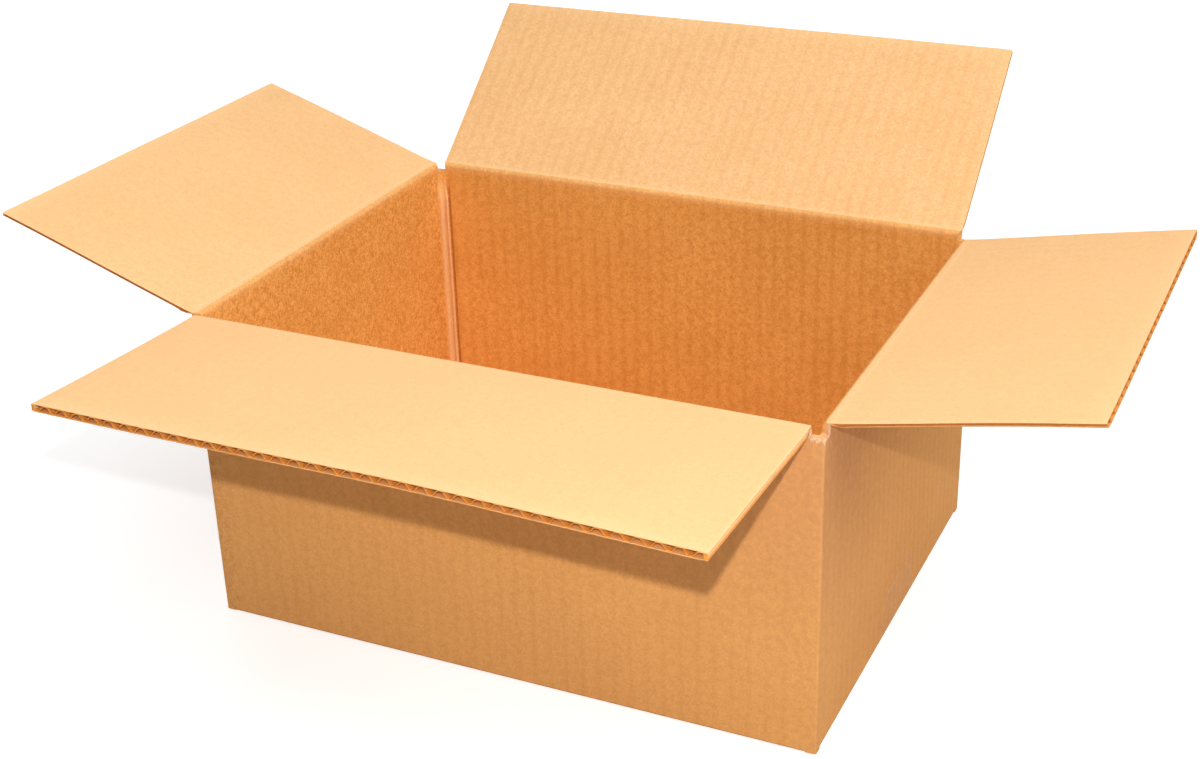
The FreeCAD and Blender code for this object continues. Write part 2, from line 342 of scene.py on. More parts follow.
def outer_corner(turn, span, half):
    """The outside of a corner, from one wall to the next: a rounded fold, or the glued joint."""
    here, out, after = along(turn), outward(turn), along(turn + 1)
    tip = here * span / 2 + out * half
    start, end = tip - here * CORNER_ZONE, tip + after * CORNER_ZONE
    if turn == JOINT_CORNER:
        lip = tip + after * BOARD
        deep = lip - here * GAP_DEPTH
        edge = [tip - here * JOINT_FLAT, tip - here * JOINT_ROUNDING, tip,
                tip + after * JOINT_ROUNDING, tip + after * JOINT_MIDDLE]
        gap = [lip, deep + after * GAP_NEAR, deep + after * GAP_FAR, lip + after * GAP_END]
        return [start] + edge + gap + [end]
    centre = tip - here * CORNER_RADIUS + after * CORNER_RADIUS
    bend = [centre + CORNER_RADIUS * (out * math.cos(a) + here * math.sin(a))
            for a in np.linspace(0, math.pi / 2, CORNER_STEPS)]
    return [start, tip - here * CORNER_FLAT] + bend + [tip + after * CORNER_FLAT, end]


def inner_corner(turn, span, half, share, bead):
    """A point of the inside of a corner: up to the bead, across it and on along the next wall."""
    here, out, after = along(turn), outward(turn), along(turn + 1)
    tip = here * (span / 2 - BOARD) + out * (half - BOARD)
    reach = CORNER_ZONE - BOARD
    path = [tip - here * reach, tip - here * bead, tip + after * bead, tip + after * reach]
    steps = [np.linalg.norm(b - a) for a, b in zip(path, path[1:])]
    goal = share * sum(steps)
    puff = np.interp(share, BEAD_SHARES, BEAD_PUFF) * bead / CORNER_BEAD
    for a, b, step in zip(path, path[1:], steps):
        if goal <= step + TINY:
            return a + (b - a) * (goal / step if step > 0 else 0) - (here + out) * puff
        goal -= step
    return path[-1]


def crest_profile():
    """The top of a wall as (height, depth behind the outer face), from outside to inside."""
    radius = BOARD - CREST_TOP
    bend = [(CREASE - radius * (1 - math.cos(a)), CREST_TOP + radius * math.sin(a))
            for a in np.linspace(0, math.pi / 2, CREST_STEPS)]
    return [(CREASE - CREST_DROP, 0.0), (CREASE - CREST_DROP / 2, CREST_INSET / 2),
            (CREASE, CREST_INSET)] + bend


def wall_columns():
    """The perimeter as columns: outer point, run along the board, crest or slot, and foot."""
    columns = []
    run = 0.0
    for name, side in SIDES.items():
        turn, span, half = side["turn"], side["span"], side["half"]
        here, out = along(turn), outward(turn)
        first, last = flap_span(name)
        next_name = list(SIDES)[(turn + 1) % 4]
        next_first = SIDES[next_name]["span"] / 2 + flap_span(next_name)[0]
        flat = span / 2 - CORNER_ZONE
        # Two columns stand at each end of the crest: one as high as the crest, one on the slot.
        spots = list(np.linspace(-flat, flat, int(2 * flat)))
        spots += [u for u in (first, last) if abs(u) < flat for _ in (0, 1)]
        seen = set()
        for u in sorted(spots):
            crest = first <= u <= last
            if u in (first, last):
                crest = u == (first if u in seen else last)
            seen.add(u)
            columns.append({"outer": here * u + out * half, "out": out, "run": run + u + flat,
                            "crest": crest, "calm": clamped((flat - abs(u)) / CALM_EDGE),
                            "foot": (side["low"] + FOLD_RADIUS, side["base"] + BOARD),
                            "u": u, "turn": turn})
        run += 2 * flat
        path = outer_corner(turn, span, half)
        steps = np.cumsum([0] + [np.linalg.norm(b - a) for a, b in zip(path, path[1:])])
        way = steps[-1]
        slot_start = last - flat
        slot_end = way - (CORNER_ZONE - next_first)
        breaks = [q for q in (slot_start, slot_end) if 0 < q < way]
        feet = [CORNER_ZONE - POST_WIDTH, way - CORNER_ZONE + POST_WIDTH]
        bead = [share * way for share in BEAD_SHARES[1:-1]]
        stops = [(q, 0) for q in list(steps[1:-1]) + bead]
        stops += [(q, k) for q in breaks + feet for k in (-1, 1)]
        for q, side_of in sorted(stops):
            at = q + side_of * NUDGE
            k = min(int(np.searchsorted(steps, q, side="right")) - 1, len(path) - 2)
            share = (q - steps[k]) / max(steps[k + 1] - steps[k], TINY)
            outer = path[k] + (path[k + 1] - path[k]) * share
            post = feet[0] <= at <= feet[1]
            above = side if at < feet[0] else SIDES[next_name]
            foot = (POST_FOOT, POST_FOOT) if post else (above["low"] + FOLD_RADIUS, above["base"] + BOARD)
            columns.append({"outer": outer, "corner": (turn, span, half, q / way), "run": run + q,
                            "crest": at < slot_start or at > slot_end, "foot": foot,
                            "fold": 1 - abs(2 * q / way - 1), "turn": turn})
        run += way
    return columns, run


# Heights of the rows of points outside and inside, closest together where the bead widens.
OUTER_LEVELS = [10.0, 20.0, 35.0, 55.0, 75.0, 95.0, 115.0, 135.0, 148.0, SLOT_FLOOR]
INNER_LEVELS = [SLOT_FLOOR, 154.0, 151.0, 148.0, 144.0, 140.0, 130.0, 115.0, 95.0, 75.0, 55.0, 35.0, 20.0]
# Rows over the crest that are still the outer liner, and those up to the end of the pale face, which has the
# flap faces' paler liner, painted light.
CREST_OUTER_ROWS = 1
CREST_PALE_ROWS = 4


def walls():
    """The walls as one closed band: up the outside, over the crest or slot, down the inside."""
    columns, total = wall_columns()
    crest = crest_profile()
    slot = [(SLOT_FLOOR, BOARD * i / (len(crest) - 1)) for i in range(len(crest))]
    first_crest = 1 + len(OUTER_LEVELS)
    after_crest = first_crest + len(crest)
    points, wear, flute_shade, grain, kinds = [], [], [], [], []
    for column in columns:
        profile = [(column["foot"][0], 0.0)] + [(z, 0.0) for z in OUTER_LEVELS]
        profile += crest if column["crest"] else slot
        profile += [(z, BOARD) for z in INNER_LEVELS] + [(column["foot"][1], BOARD)]
        for row, (z, depth) in enumerate(profile):
            if "corner" in column:
                grow = clamped((SLOT_FLOOR - z) / BEAD_RISE)
                grow *= BEAD_FULL + BEAD_UNEVEN * sway(z * BEAD_PACE, 0.0, BEAD_SEED + column["turn"])
                inner = inner_corner(*column["corner"], CORNER_BEAD * grow)
                point = column["outer"] + (inner - column["outer"]) * depth / BOARD
                ridge = 1.0 if BEAD_WORN[0] < column["corner"][3] < BEAD_WORN[1] else BEAD_SIDE_WEAR
                # Outside, the fold is painted darker: painted shade. Inside, the bead's ridges are worn.
                scuff_and_shade = FOLD_PAINTED_SHADE * max(column["fold"] - 0.5, 0) if depth == 0 else ridge * grow
                from_slot = SLOT_FLOOR - z
                if column["turn"] == TORN_CORNER and from_slot < TEAR_REACH:
                    scuff_and_shade += TEAR_WEAR * column["fold"] * (1 - from_slot / TEAR_REACH)
            else:
                point = column["outer"] - column["out"] * depth
                calm = column["calm"] * clamped((CREASE - CALM_CREST - z) / CALM_CREST_FADE)
                contact = 1 if depth < BOARD / 2 else -1
                dip = washboard(column["run"], contact) * calm
                drift = SWAY * calm * sway(column["u"], z, column["turn"] * SWAY_SEED)
                drift *= clamped((z - CALM_FOOT) / CALM_FOOT_FADE)
                point = point + column["out"] * (drift - contact * dip)
                scuff_and_shade = 0.0
            # Outside: painted shade round the top of the front right corner.
            if depth == 0:
                to_corner = math.dist((point[0], point[1], z), CORNER_PAINTED_SHADE_TOP) / CORNER_PAINTED_SHADE_REACH
                scuff_and_shade = max(scuff_and_shade, CORNER_PAINTED_SHADE * math.exp(-to_corner ** 2))
            if z > CREASE - CREST_WEAR_REACH:
                scuff_and_shade = max(scuff_and_shade, CREST_WEAR)
            if not column["crest"] and first_crest <= row < after_crest:
                scuff_and_shade = SLOT_WEAR
            points.append((point[0], point[1], z))
            wear.append(min(scuff_and_shade, 1.0))
            flute_shade.append(WALL_FLUTE_SHADE[column["turn"]])
            grain.append(WALL_GRAIN[column["turn"]])
    rows = len(profile)
    faces, uvs = [], []
    count = len(columns)
    for c in range(count):
        d = (c + 1) % count
        left, right = columns[c]["run"], columns[d]["run"] if d else total
        on_slot = not (columns[c]["crest"] and columns[d]["crest"])
        for r in range(rows):
            s = (r + 1) % rows
            corners = [c * rows + r, d * rows + r, d * rows + s, c * rows + s]
            if len({tuple(np.round(points[i], 5)) for i in corners}) < 3:
                continue
            faces.append(corners)
            uvs += [(left, points[corners[0]][2]), (right, points[corners[1]][2]),
                    (right, points[corners[2]][2]), (left, points[corners[3]][2])]
            if r < first_crest - 1:
                kinds.append(OUTER)
            elif r < after_crest - 1 and on_slot:
                kinds.append(CUT)
            elif r < first_crest + CREST_OUTER_ROWS:
                kinds.append(OUTER)
            elif r < first_crest + CREST_PALE_ROWS:
                kinds.append(PALE_LIT)
            elif r < rows - 1:
                kinds.append(INNER)
            else:
                kinds.append(CUT)
    return board_object("box_walls", points, faces, uvs, kinds, wear, flute_shade, grain)


box_walls = walls()
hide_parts("box_body")
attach(box_walls, "box")

# Bottom flaps: the lower ends of the same four walls, folded in. The long pair meets under the
# short pair, whose cut edges lie open to the inside and show the flutes of the medium.
# The medium is a waved sheet between two liners, glued to each at its crests.
MEDIUM = 0.35
MEDIUM_STEPS = 12
# A tenth of the third harmonic flattens the medium's crests, where they are glued to the liners.
THIRD_HARMONIC = 0.1
WELD = 0.001
RUN_STEPS = 8
FOLD_CROWDING = 1.5
SEAM_GAP = 0.6
BOTTOM_END = 5.0
BOTTOM_REACH = (WIDTH - SEAM_GAP) / 2
BOTTOM_RECESS = 0.1
BOTTOM_WEAR = 0.3
# Past its bend, a sagging fold climbs back to its flap: how far along, and the sag left there.
SAG_STEPS = ((0.6, 0.8), (1.2, 0.3))
SAG_END = 1.8


def fluting_tree():
    """Node tree of the corrugated medium, in millimetres: a flat grid waved along X, then thickened."""
    tree = bpy.data.node_groups.new("fluting", "GeometryNodeTree")
    for name, kind in (("Length", "Float"), ("Depth", "Float"), ("Pitch", "Float"), ("Swing", "Float"),
                       ("Thickness", "Float"), ("Columns", "Int"), ("Rows", "Int"), ("Material", "Material")):
        tree.interface.new_socket(name, in_out="INPUT", socket_type="NodeSocket" + kind)
    tree.interface.new_socket("Geometry", in_out="OUTPUT", socket_type="NodeSocketGeometry")
    given = add_node(tree, "NodeGroupInput").outputs
    grid = add_node(tree, "GeometryNodeMeshGrid",
                    {"Size X": given["Length"], "Size Y": given["Depth"],
                     "Vertices X": given["Columns"], "Vertices Y": given["Rows"]})
    place = add_node(tree, "GeometryNodeInputPosition")
    run = add_node(tree, "ShaderNodeSeparateXYZ", {0: place})
    turns = add_node(tree, "ShaderNodeMath", {0: run, 1: given["Pitch"]}, operation="DIVIDE")
    phase = add_node(tree, "ShaderNodeMath", {0: turns, 1: 2 * math.pi}, operation="MULTIPLY")
    main_wave = add_node(tree, "ShaderNodeMath", {0: phase}, operation="SINE")
    third_phase = add_node(tree, "ShaderNodeMath", {0: turns, 1: 6 * math.pi}, operation="MULTIPLY")
    third = add_node(tree, "ShaderNodeMath", {0: third_phase}, operation="SINE")
    wave = add_node(tree, "ShaderNodeMath", {0: third, 1: THIRD_HARMONIC, 2: main_wave},
                    operation="MULTIPLY_ADD")
    crest = add_node(tree, "ShaderNodeMath", {0: given["Swing"], 1: 1 - THIRD_HARMONIC},
                     operation="DIVIDE")
    sunk = add_node(tree, "ShaderNodeMath", {0: given["Thickness"], 1: -0.5}, operation="MULTIPLY")
    lift = add_node(tree, "ShaderNodeMath", {0: wave, 1: crest, 2: sunk}, operation="MULTIPLY_ADD")
    offset = add_node(tree, "ShaderNodeCombineXYZ", {"Z": lift})
    sheet = add_node(tree, "GeometryNodeSetPosition", {"Geometry": grid.outputs["Mesh"], "Offset": offset})
    thick = add_node(tree, "GeometryNodeExtrudeMesh",
                     {"Mesh": sheet, "Offset Scale": given["Thickness"], "Individual": False})
    under = add_node(tree, "GeometryNodeFlipFaces", {"Mesh": sheet})
    both = add_node(tree, "GeometryNodeJoinGeometry")
    tree.links.new(thick.outputs["Mesh"], both.inputs[0])
    tree.links.new(under.outputs[0], both.inputs[0])
    closed = add_node(tree, "GeometryNodeMergeByDistance", {"Geometry": both, "Distance": WELD})
    real = add_node(tree, "GeometryNodeRealizeInstances", {"Geometry": closed})
    painted = add_node(tree, "GeometryNodeSetMaterial",
                       {"Geometry": real, "Material": given["Material"]})
    add_node(tree, "NodeGroupOutput", {0: painted})
    return tree


FLUTING = fluting_tree()


def fluting(start, stop, near, far, rows):
    """Points and faces of a stretch of medium: run, distance from the fold, height from the middle."""
    holder = bpy.data.objects.new("fluting_blank", bpy.data.meshes.new("fluting_blank"))
    bpy.context.scene.collection.objects.link(holder)
    modifier = holder.modifiers.new("fluting", "NODES")
    modifier.node_group = FLUTING
    values = {"Length": stop - start, "Depth": far - near, "Pitch": PITCH, "Thickness": MEDIUM,
              "Swing": (BOARD - 2 * LINER - MEDIUM) / 2, "Rows": rows,
              "Columns": int((stop - start) / PITCH * MEDIUM_STEPS), "Material": BOARD_MATERIALS[CUT]}
    for item in FLUTING.interface.items_tree:
        if item.in_out == "INPUT":
            modifier[item.identifier] = values[item.name]
    bpy.context.view_layer.update()
    evaluated = holder.evaluated_get(bpy.context.evaluated_depsgraph_get())
    mesh = bpy.data.meshes.new_from_object(evaluated)
    points = np.array([v.co for v in mesh.vertices]) + [(start + stop) / 2, (near + far) / 2, 0]
    faces = [list(p.vertices) for p in mesh.polygons]
    bpy.data.objects.remove(holder)
    bpy.data.meshes.remove(mesh)
    return points, faces


class Board:
    """Collects the sheets of one panel: liners as ribbons and the medium between them."""

    def __init__(self, place, wear, middle=0.0):
        self.place, self.wear_at, self.middle = place, wear, middle
        self.points, self.faces, self.uvs, self.kinds, self.wear = [], [], [], [], []

    def add(self, flat_points, faces, kinds):
        """flat_points: run along the crease, distance along the panel, height over its inner face."""
        base = len(self.points)
        self.points += [self.place(*p) for p in flat_points]
        self.wear += [self.wear_at(*p) for p in flat_points]
        for face, kind in zip(faces, kinds):
            self.faces.append([base + i for i in face])
            self.uvs += [(flat_points[i][0] - self.middle, flat_points[i][1]) for i in face]
            self.kinds.append(kind)

    def ribbon(self, runs, upper, lower, sides, ends=CUT):
        """A closed sheet between two lines of (distance, height, washboard contact or 0)."""
        points, faces, kinds = [], [], []
        width = len(upper)
        for run in runs:
            for distance, height, contact in upper + lower:
                points.append((run, distance, height - contact * washboard(run - self.middle, contact)))
        step = 2 * width
        for c in range(len(runs) - 1):
            a, b = c * step, (c + 1) * step
            for i in range(width - 1):
                faces.append([a + i, b + i, b + i + 1, a + i + 1])
                faces.append([a + width + i, a + width + i + 1, b + width + i + 1, b + width + i])
                kinds += [sides[0], sides[1]]
            faces.append([a, a + width, b + width, b])
            faces.append([a + width - 1, b + width - 1, b + step - 1, a + step - 1])
            kinds += [CUT, CUT]
        last = (len(runs) - 1) * step
        for i in range(width - 1):
            faces.append([i, i + 1, width + i + 1, width + i])
            faces.append([last + i, last + width + i, last + width + i + 1, last + i + 1])
            kinds += [ends, ends]
        self.add(points, faces, kinds)

    def medium(self, start, stop, near, far, rows):
        points, faces = fluting(start, stop, near, far, rows)
        self.add([(x, y, z - BOARD / 2) for x, y, z in points], faces, [CUT] * len(faces))

    def finish(self, name, flute_shade=1.0, grain=1.0):
        return board_object(name, self.points, self.faces, self.uvs, self.kinds, self.wear, flute_shade, grain)


def runs_between(start, stop):
    return list(np.linspace(start, stop, int((stop - start) / PITCH * RUN_STEPS) + 1))


def spread_steps(near, far, count):
    """Distances from near to far, closer together near the fold."""
    return [near + (far - near) * (i / count) ** FOLD_CROWDING for i in range(count + 1)]


def bottom_flap(name):
    """A bottom flap: two liners and the medium, the outer liner bent up into the wall's outside."""
    side = SIDES[name]
    start, stop = -side["span"] / 2 + BOTTOM_END, side["span"] / 2 - BOTTOM_END
    here, out = along(side["turn"]), outward(side["turn"])
    base, half = side["base"], side["half"]

    def place(run, distance, height):
        point = here * run + out * (half - distance)
        return (point[0], point[1], base + BOARD + height)

    def wear(run, distance, height):
        return BOTTOM_WEAR if distance < FOLD_RADIUS else 0.0

    panel = Board(place, wear)
    runs = runs_between(start, stop)
    inside = [(d, 0.0, 1) for d in spread_steps(BOARD, BOTTOM_REACH, 8)]
    panel.ribbon(runs, inside, [(d, -LINER, 0) for d, _, _ in inside], (INNER, CUT))
    sag = side["base"] - side["low"]
    outside = [(FOLD_RADIUS * (1 - math.cos(a)), FOLD_RADIUS * (1 - math.sin(a)) - BOARD - sag, 0)
               for a in np.linspace(0, math.pi / 2, FOLD_STEPS)]
    outside += [(FOLD_RADIUS + past, -BOARD - left * sag, 0) for past, left in SAG_STEPS]
    outside += [(d, -BOARD, -1) for d in spread_steps(FOLD_RADIUS + SAG_END, BOTTOM_REACH, 6)]
    lining = [(max(d, LINER), h + LINER, 0) for d, h, _ in outside]
    panel.ribbon(runs, lining, outside, (CUT, OUTER))
    panel.medium(start, stop, BOARD, BOTTOM_REACH - BOTTOM_RECESS, 2)
    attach(panel.finish("bottom_flap_" + name), "box")


for side_name in SIDES:
    bottom_flap(side_name)

# Glued joint: the tab of the back wall, turned forward and glued on the inside of the right
# wall at the back right corner. Its board is squeezed thinner than the walls.
TAB_WIDTH = 35.0
TAB_TAPER = 9.4
TAB_LOW = 9.95
TAB_HIGH = SLOT_FLOOR - 2.0
TAB_SQUEEZE = 0.2
TAB_ROWS = 30
TAB_COLUMNS = 9
TAB_WEAR = 0.25
TAB_WEAR_REACH = 1


def glue_tab():
    """The tab as a grid of pairs of points, one on each face, narrower towards its free edge."""
    inner_face = LENGTH / 2 - BOARD
    root = WIDTH / 2 - BOARD

    def place(run, distance, height):
        return (inner_face - BOARD - height, root - distance, run)

    def wear(run, distance, height):
        return TAB_WEAR if distance > TAB_WIDTH - TAB_WEAR_REACH else 0.0

    panel = Board(place, wear)
    points, faces, kinds = [], [], []
    for t in np.linspace(0, 1, TAB_ROWS):
        for s in np.linspace(0, 1, TAB_COLUMNS):
            taper = TAB_TAPER * s
            z = TAB_LOW + taper + (TAB_HIGH - TAB_LOW - 2 * taper) * t
            for height in (0.0, -BOARD + TAB_SQUEEZE):
                points.append((z, s * TAB_WIDTH, height))
    width = 2 * TAB_COLUMNS
    for r in range(TAB_ROWS - 1):
        a, b = r * width, (r + 1) * width
        for i in range(0, width - 2, 2):
            faces.append([a + i, a + i + 2, b + i + 2, b + i])
            faces.append([a + i + 1, b + i + 1, b + i + 3, a + i + 3])
            kinds += [INNER, OUTER]
        faces.append([a + width - 2, a + width - 1, b + width - 1, b + width - 2])
        faces.append([a, b, b + 1, a + 1])
        kinds += [CUT, CUT]
    last = (TAB_ROWS - 1) * width
    for i in range(0, width - 2, 2):
        faces.append([i, i + 1, i + 3, i + 2])
        faces.append([last + i, last + i + 2, last + i + 3, last + i + 1])
        kinds += [CUT, CUT]
    panel.add(points, faces, kinds)
    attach(panel.finish("glue_tab"), "box")


glue_tab()

# Torn rim: at the front right corner the slot was torn rather than cut, and a ragged edge of
# pale fibres stands up round it, from the front flap's end to the right flap's.
RIM_STEP = 0.3
RIM_TOP = 1.2
RIM_WEAR = 0.5
# The fibres stand up in clumps of tufts: how long each is along the rim, and the least and the
# most that it stands up.
CLUMP_LENGTH = 2.2
CLUMP_LEAST = 0.6
CLUMP_MOST = 1.4
CLUMP_LEVEL = 0.35
CLUMP_SEEDS = (5.1, 0.4)
TUFT_LENGTH = 0.9
TUFT_LEVEL = 0.5
TUFT_SEEDS = (3.7, 1.3)
# The rim's section, point by point: how far it stands into the gap and off the board's face, and
# what its tuft adds to each.
RIM_SECTION = ((-0.5, -1.4, 0.03, 0.0), (-0.2, 0.0, 0.08, 0.35), (0.1, 0.8, 0.05, 0.0),
               (0.1, 0.0, -0.8, -1.0), (-0.3, 0.0, -0.3, 0.0))


def torn_rim():
    turn, span, half = TORN_CORNER, LENGTH, WIDTH / 2
    here, out, after = along(turn), outward(turn), along(turn + 1)
    left_end = here * flap_span("front")[1] + out * half
    right_end = here * span / 2 + after * flap_span("right")[0]
    corner = [p for p in outer_corner(turn, span, half)
              if p @ here > left_end @ here and p @ out > -right_end @ after]
    up = np.array([0.0, 0.0, 1.0])
    top = up * (CREASE - RIM_TOP)
    floor_level = up * SLOT_FLOOR
    route = [left_end + top, left_end + floor_level] + [p + floor_level for p in corner]
    route += [right_end + floor_level, right_end + top]
    lengths = np.cumsum([0] + [np.linalg.norm(b - a) for a, b in zip(route, route[1:])])
    spots = np.arange(0, lengths[-1], RIM_STEP)
    line = np.array([[np.interp(q, lengths, [p[k] for p in route]) for k in range(3)] for q in spots])
    legs = lengths[1], lengths[-2]
    points = []
    for q, point in zip(spots, line):
        rise = min(q / legs[0], (lengths[-1] - q) / (lengths[-1] - legs[1]), 1.0)
        side_way = here if q < (legs[0] + legs[1]) / 2 else -after
        gap = side_way * (1 - rise ** 2) + up * rise ** 2
        gap = gap / np.linalg.norm(gap)
        blend = clamped((q - legs[0]) / (legs[1] - legs[0]))
        face = out * (1 - blend) + here * blend
        face = face / np.linalg.norm(face)
        height = noise.noise(Vector((q / CLUMP_LENGTH, *CLUMP_SEEDS))) + CLUMP_LEVEL
        clump = CLUMP_LEAST + CLUMP_MOST * max(height, 0.0)
        for k, (into, more_into, off, more_off) in enumerate(RIM_SECTION):
            height = noise.noise(Vector((q / TUFT_LENGTH, TUFT_SEEDS[0] * k, TUFT_SEEDS[1])))
            tuft = clump * (TUFT_LEVEL + height)
            points.append(point + gap * (into + more_into * tuft) + face * (off + more_off * tuft))
    sides = len(RIM_SECTION)
    last = len(points) - sides
    faces = [[r + k, r + (k + 1) % sides, r + sides + (k + 1) % sides, r + sides + k]
             for r in range(0, last, sides) for k in range(sides)]
    faces += [list(range(sides)), [last + k for k in range(sides)]]
    uvs = [(0, 0)] * sum(len(face) for face in faces)
    kinds = [TORN] * len(faces)
    piece = board_object("torn_rim", points, faces, uvs, kinds, [RIM_WEAR] * len(points))
    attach(piece, "box")


torn_rim()

# Top flaps: the upper ends of the walls, folded outwards. The board is crushed thin at the
# crease, and its free edge shows liner, flutes and liner. Each flap keeps the angle at which
# it was left, and the right half of the front one droops towards its corner.
FLAP_LENGTH = 111.0
CRUSH = 6.0
CREASE_OUT = 0.2
CREASE_UP = 0.2
CREASE_THICKNESS = 0.72
FLAP_LIFT = {"front": 3.0, "right": 10.8, "back": 39.5, "left": 18.7}
# The closed flaps lie in two layers, so the long ones may bend only away from the short ones,
# and the short ones only away from them.
DROOP = {"front": 1.41, "right": 0.0, "back": 0.0, "left": 0.0}
DROOP_POWER = 1.5
FLAP_BOW = {"front": -0.4, "right": 0.8, "back": -0.7, "left": 0.6}
FLAP_SWAY = 0.35
FLAP_SWAY_SEED = 3.1
# How strongly the flute lines, painted shade, and the grain show on each flap.
FLAP_FLUTE_SHADE = {"front": 0.16, "right": 0.1, "back": 1.0, "left": 0.1}
FLAP_GRAIN = {"front": 0.3, "right": 0.35, "back": 0.8, "left": 0.45}
# The knives that cut the slots squeeze the side edges, most of all those of the short flaps.
PINCH_WIDTH = 5.0
PINCH_START = 8
PINCH = {"front": 0.85, "right": 0.36, "back": 0.6, "left": 0.36}
PINCH_DROP = 0.25
# A side edge's material: the front flap's takes the paler liner of the flap faces, painted light; the others
# take the dark crushed edge, painted shade.
EDGE_KIND = {"front": PALE_LIT, "right": CRUSHED_SHADED, "back": CRUSHED_SHADED, "left": CRUSHED_SHADED}
EDGE_RECESS = {"front": 0.1, "right": 0.6, "back": 0.4, "left": 0.6}
# Between the liners a side edge is closed by the medium, pressed into a core. It starts in the
# wedge at the crease, with rows at these distances, and leaves a hair's breadth to each liner.
CORE_WIDTH = 1.5
CORE_GAP = 0.02
CORE_WEDGE = [0.6, 2.0, 4.0]
CORE_RECESS = 0.1
MEDIUM_START = CRUSH + 0.5
MEDIUM_RECESS = 0.15
SMOOTH_ROOT = 2
CREASE_WEAR = 0.45
CREASE_WEAR_REACH = 1.5
EDGE_WEAR = 0.4
EDGE_WEAR_FADE = 3
INSIDE_OF_BOARD = 0.01


def flap_place(name):
    """Maps a flat flap to its place: run along the crease, distance from it, height over its face."""
    side = SIDES[name]
    here, out = along(side["turn"]), outward(side["turn"])
    start, stop = flap_span(name)
    reach = (stop - start) / 2

    def place(run, distance, height):
        share = distance / FLAP_LENGTH
        from_side = clamped(min(run - start, stop - run) / PINCH_WIDTH)
        squeeze = (1 - from_side) ** 2 * min(distance / PINCH_START, 1.0)
        height = height * (1 - (1 - PINCH[name]) * squeeze) - PINCH_DROP * squeeze
        to_right = max((run - (start + stop) / 2) / reach, 0.0)
        angle = math.radians(FLAP_LIFT[name] - DROOP[name] * to_right ** DROOP_POWER)
        bowed = height + FLAP_BOW[name] * math.sin(math.pi * share) * share
        bowed += FLAP_SWAY * share * sway(run, distance, FLAP_SWAY_SEED + side["turn"])
        outer = CREASE_OUT + distance * math.cos(angle) - bowed * math.sin(angle)
        point = here * run + out * (side["half"] + outer)
        return (point[0], point[1], CREASE + CREASE_UP + distance * math.sin(angle) + bowed * math.cos(angle))

    return place


def top_flap(name):
    """A top flap: two liners, the medium, and a pressed core along either side edge."""
    start, stop = flap_span(name)

    def wear(run, distance, height):
        if distance < CREASE_WEAR_REACH:
            return CREASE_WEAR
        if LINER - BOARD < height - INSIDE_OF_BOARD and height + INSIDE_OF_BOARD < -LINER:
            return 0.0
        rim = min(FLAP_LENGTH - distance, run - start, stop - run)
        return max(0.0, EDGE_WEAR - rim / EDGE_WEAR_FADE)

    panel = Board(flap_place(name), wear, (start + stop) / 2)
    runs = runs_between(start, stop)
    inside = [(d, 0.0, 1 if d > SMOOTH_ROOT else 0) for d in spread_steps(0.0, FLAP_LENGTH, 16)]
    # The top face is the paler copy of the inside liner: painted light.
    panel.ribbon(runs, inside, [(d, -LINER, 0) for d, _, _ in inside], (PALE_LIT, CUT))
    outside = [(0.0, -CREASE_THICKNESS, 0), (CRUSH / 2, -(BOARD + CREASE_THICKNESS) / 2, 0),
               (CRUSH, -BOARD, 0)]
    outside += [(d, -BOARD, -1) for d in spread_steps(CRUSH + 1, FLAP_LENGTH, 12)]
    panel.ribbon(runs, [(d, h + LINER, 0) for d, h, _ in outside], outside, (CUT, OUTER))
    panel.medium(start, stop, MEDIUM_START, FLAP_LENGTH - MEDIUM_RECESS, 8)
    core_under = [(d, np.interp(d, (0.0, CRUSH), (-CREASE_THICKNESS, -BOARD)) + LINER + CORE_GAP, 0)
                  for d in CORE_WEDGE + spread_steps(CRUSH, FLAP_LENGTH - CORE_RECESS, 16)]
    core_over = [(d, -LINER - CORE_GAP, 0) for d, _, _ in core_under]
    recess = EDGE_RECESS[name]
    for edge in (start + recess, stop - recess - CORE_WIDTH):
        panel.ribbon([edge, edge + CORE_WIDTH / 2, edge + CORE_WIDTH], core_over, core_under,
                     (CUT, CUT), EDGE_KIND[name])
    piece = panel.finish(name + "_flap_board", FLAP_FLUTE_SHADE[name], FLAP_GRAIN[name])
    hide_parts(name + "_flap")
    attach(piece, name + "_panel")


for side_name in SIDES:
    top_flap(side_name)

# Creases: the two liners pressed together along each top fold. They bend as the flap turns,
# and join the crest of the wall to the root of the flap.
# The upper side arches from the wall's crest to the flap's root; both ends reach a little in.
CREASE_ARCH = [(-0.9, 0.04), (-0.6, 0.1), (-0.3, 0.15), (0.0, 0.19)]
CREASE_SUNK = 0.02
CREASE_COLUMNS = 60


def crease(name):
    side = SIDES[name]
    here, out = along(side["turn"]), outward(side["turn"])
    start, stop = flap_span(name)
    lift = math.radians(FLAP_LIFT[name])
    root = (CREASE_OUT, CREASE_UP)
    under = (root[0] + CREASE_THICKNESS * math.sin(lift), root[1] - CREASE_THICKNESS * math.cos(lift))

    def place(run, distance, height):
        point = here * run + out * (side["half"] + distance)
        return (point[0], point[1], CREASE + height)

    def wear(run, distance, height):
        return CREASE_WEAR

    over = [(-CREST_TOP, -CREASE_SUNK)] + CREASE_ARCH + [root]
    below = [(0.0, -CREST_DROP - CREASE_SUNK)]
    below += [(under[0] * t, -CREST_DROP + (under[1] + CREST_DROP) * t) for t in (0.2, 0.4, 0.6, 0.8, 1.0)]
    panel = Board(place, wear)
    # Its upper side has the paler liner of the flap faces: painted light.
    panel.ribbon(list(np.linspace(start, stop, CREASE_COLUMNS)), [(d, h, 0) for d, h in over],
                 [(d, h, 0) for d, h in below], (PALE_LIT, OUTER))
    piece = panel.finish(name + "_crease")
    # The bend runs square to the wall's crushed crest, from the crest to just short of the root.
    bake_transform(piece)


